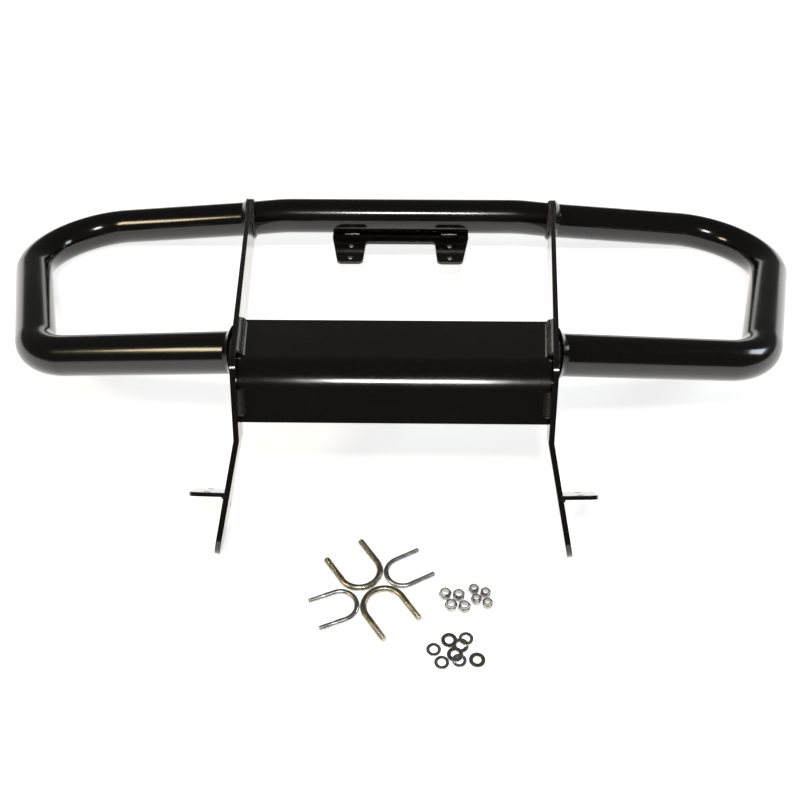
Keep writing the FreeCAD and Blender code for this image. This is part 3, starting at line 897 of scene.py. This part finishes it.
@dataclass
class UBoltWork:
    """One U-bolt with rolled threads on both legs."""

    shop: Workshop
    sizes: UBoltSizes
    node: str
    place: Place
    material: bpy.types.Material
    slot: str
    sides: int = 40
    ridge: float = 0.42
    chamfer: float = 0.7

    def spot(self) -> Matrix:
        """Return where the U-bolt lies, its legs along its own X."""
        x, y, heading = self.place
        lift = Vector((x, y, self.sizes.rod / 2.0))
        return Matrix.Translation(lift) @ Matrix.Rotation(math.radians(heading), 4, "Z")

    def stub(self, spot: Matrix, y: float) -> bpy.types.Mesh:
        """Return the smaller core of one threaded leg end, with its chamfer."""
        sizes = self.sizes
        core = sizes.rod / 2.0 - self.ridge
        start = sizes.leg - sizes.threaded
        section = ((0.5, start - 1.0), (sizes.rod / 2.0, start - 0.9), (sizes.rod / 2.0, start),
                   (core, start + 1.4), (core, sizes.leg - self.chamfer),
                   (core - self.chamfer, sizes.leg), (0.5, sizes.leg))
        turn = spot @ Matrix.Translation((0.0, y, 0.0)) @ Matrix.Rotation(math.radians(90.0), 4, "Y")
        return self.shop.turned(section, self.sides, turn, self.material)

    def threads(self, spot: Matrix, y: float) -> bpy.types.Mesh:
        """Return the thread ridge of one leg end."""
        sizes = self.sizes
        run = sizes.threaded - 2.2
        values = {"Radius": (sizes.rod / 2.0 - self.ridge) * MM, "Turns": run / sizes.pitch,
                  "Height": run * MM, "Ridge": self.ridge * MM, "Material": self.material}
        mesh = self.shop.grown(self.shop.thread, bpy.data.meshes.new("seed"), values)
        start = Matrix.Translation(Vector((sizes.leg - sizes.threaded + 1.2, y, 0.0)) * MM)
        lift = spot.copy()
        lift.translation = spot.translation * MM
        mesh.transform(lift @ start @ Matrix.Rotation(math.radians(90.0), 4, "Y"))
        return mesh

    def build(self) -> None:
        """Build the bend, the legs and the threads."""
        sizes = self.sizes
        reach = (sizes.inside + sizes.rod) / 2.0
        end = sizes.leg - sizes.threaded
        route = [Vector((end, reach, 0.0))]
        for k in range(49):
            angle = math.radians(90.0 + 180.0 * k / 48.0)
            route.append(Vector((reach * math.cos(angle), reach * math.sin(angle), 0.0)))
        route.append(Vector((end, -reach, 0.0)))
        spot = self.spot()
        bend = self.shop.bar_along([spot @ point for point in route], sizes.rod / 2.0,
                                   self.sides, self.material)
        meshes = [bend]
        for y in (reach, -reach):
            meshes.append(self.stub(spot, y))
            meshes.append(self.threads(spot, y))
        self.shop.joined(self.node + "_rod", meshes, self.material, self.node, [self.node], self.slot)


@dataclass
class LooseHardware:
    """The U-bolts, lock nuts and washers on the floor."""

    shop: Workshop
    finishes: Finishes
    shift_y: float
    large_u: Tuple[Place, ...] = ((-38.1, -266.8, 124.5), (-8.6, -313.6, -55.5))
    small_u: Tuple[Place, ...] = ((11.0, -267.5, 29.3), (-57.8, -313.2, 202.4))

    def u_bolts(self) -> None:
        """Build the four U-bolts."""
        rows = (("large", self.large_u, LARGE_U, self.finishes.yellow, "zinc_yellow"),
                ("small", self.small_u, SMALL_U, self.finishes.clear, "zinc_clear"))
        for word, places, sizes, material, slot in rows:
            for letter, (x, y, heading) in zip("ab", places):
                place = (x, y + self.shift_y, heading)
                UBoltWork(self.shop, sizes, f"{word}_u_bolt_{letter}", place, material, slot).build()

    def nuts_and_washers(self) -> None:
        """Build the nuts, their nylon rings and the washers from the CAD shapes."""
        rows = (("large_lock_nuts", "large_nuts", self.finishes.nut, "zinc_nut", 0.35),
                ("small_lock_nuts", "small_nuts", self.finishes.nut, "zinc_nut", 0.3),
                ("large_nut_inserts", "large_nuts", self.finishes.nylon, "nylon", 0.15),
                ("small_nut_inserts", "small_nuts", self.finishes.nylon, "nylon", 0.15),
                ("large_washers", "washers", self.finishes.washer, "zinc_washer", 0.35),
                ("small_washers", "washers", self.finishes.clear, "zinc_clear", 0.35))
        for node, body, material, slot, edge in rows:
            mesh = self.shop.softened(node, edge, material, 2)
            self.shop.kept(mesh, node + "_finished", body, [node], slot)

    def build(self) -> None:
        """Build all the loose pieces."""
        self.u_bolts()
        self.nuts_and_washers()


# ------------------------------------------------------------------ studio
@dataclass
class Studio:
    """The floor, the lights and the camera."""

    eye: Place = (21.9, -925.1, 944.7)
    yaw: float = 1.12
    pitch: float = 45.203
    roll: float = -0.354
    lens: float = 45.0
    floor_reach: float = 14.0
    floor_drop: float = 0.0002

    def floor(self) -> None:
        """Lay the plain floor under the part."""
        mesh = bpy.data.meshes.new("floor")
        reach = self.floor_reach
        corners = [(-reach, -reach, 0), (reach, -reach, 0), (reach, reach, 0), (-reach, reach, 0)]
        mesh.from_pydata(corners, [], [(0, 1, 2, 3)])
        mesh.materials.append(StudioFloor().build())
        piece = bpy.data.objects.new("floor", mesh)
        piece.location.z = -self.floor_drop
        bpy.context.scene.collection.objects.link(piece)

    def lamp(self, name: str, place: Place, aim: Place, size: Tuple[float, float], power: float,
             tint: Place) -> None:
        """Hang one soft rectangular lamp, in metres, aimed at a place."""
        data = bpy.data.lights.new(name, "AREA")
        data.shape = "RECTANGLE"
        data.size, data.size_y = size
        data.energy = power
        data.color = tint
        lamp = bpy.data.objects.new(name, data)
        lamp.location = place
        lamp.rotation_euler = (Vector(aim) - Vector(place)).to_track_quat("-Z", "Y").to_euler()
        bpy.context.scene.collection.objects.link(lamp)

    def lights(self) -> None:
        """Set the even surround and the lamps."""
        world = bpy.data.worlds.new("surround")
        world.use_nodes = True
        shade = world.node_tree.nodes["Background"]
        shade.inputs["Color"].default_value = (1.0, 1.0, 1.0, 1.0)
        shade.inputs["Strength"].default_value = 0.07
        bpy.context.scene.world = world
        self.lamp("overhead", (0.0, -1.35, 2.5), (0.0, 0.1, 0.0), (0.6, 0.35), 30.0, (1.0, 0.98, 0.95))
        self.lamp("left_box", (-2.2, -1.1, 2.2), (0.0, 0.1, 0.05), (0.9, 0.5), 24.0, (1.0, 0.85, 0.55))
        self.lamp("right_box", (2.4, 0.5, 1.2), (0.0, 0.1, 0.05), (0.7, 0.7), 14.0, (0.88, 0.93, 1.0))
        bpy.context.scene.view_settings.view_transform = "Standard"

    def camera(self) -> None:
        """Stand the camera in front of the guard's feet, looking down at it."""
        yaw, pitch, roll = (math.radians(turn) for turn in (self.yaw, self.pitch, self.roll))
        ahead = Vector((-math.sin(yaw) * math.cos(pitch), math.cos(yaw) * math.cos(pitch),
                        -math.sin(pitch)))
        right = Vector((math.cos(yaw), math.sin(yaw), 0.0))
        above = right.cross(ahead)
        turned_right = right * math.cos(roll) + above * math.sin(roll)
        turned_up = -right * math.sin(roll) + above * math.cos(roll)
        turn = Matrix((turned_right, turned_up, -ahead)).transposed().to_4x4()
        data = bpy.data.cameras.new("camera")
        data.lens = self.lens
        data.sensor_width = SENSOR_MM
        data.clip_end = 60.0
        camera = bpy.data.objects.new("camera", data)
        camera.matrix_world = Matrix.Translation(Vector(self.eye) * MM) @ turn
        bpy.context.scene.collection.objects.link(camera)
        bpy.context.scene.camera = camera

    def build(self) -> None:
        """Build the whole studio."""
        self.floor()
        self.lights()
        self.camera()


def main() -> None:
    """Build the guard, its hardware and the studio."""
    logging.basicConfig(level=logging.INFO, format="%(name)s %(message)s")
    shop = Workshop()
    finishes = Finishes()
    plates = PlateFrame(PlateSizes(), TubeSizes.center_bow, TubeSizes.center_run)
    tubes = TubeWork(shop, plates, finishes)
    tubes.build()
    PlateWork(shop, finishes).build()
    WeldWork(shop, plates, tubes, finishes).build()
    LooseHardware(shop, finishes, plates.shift_y).build()
    Studio().build()


if __name__ == "__main__":
    main()
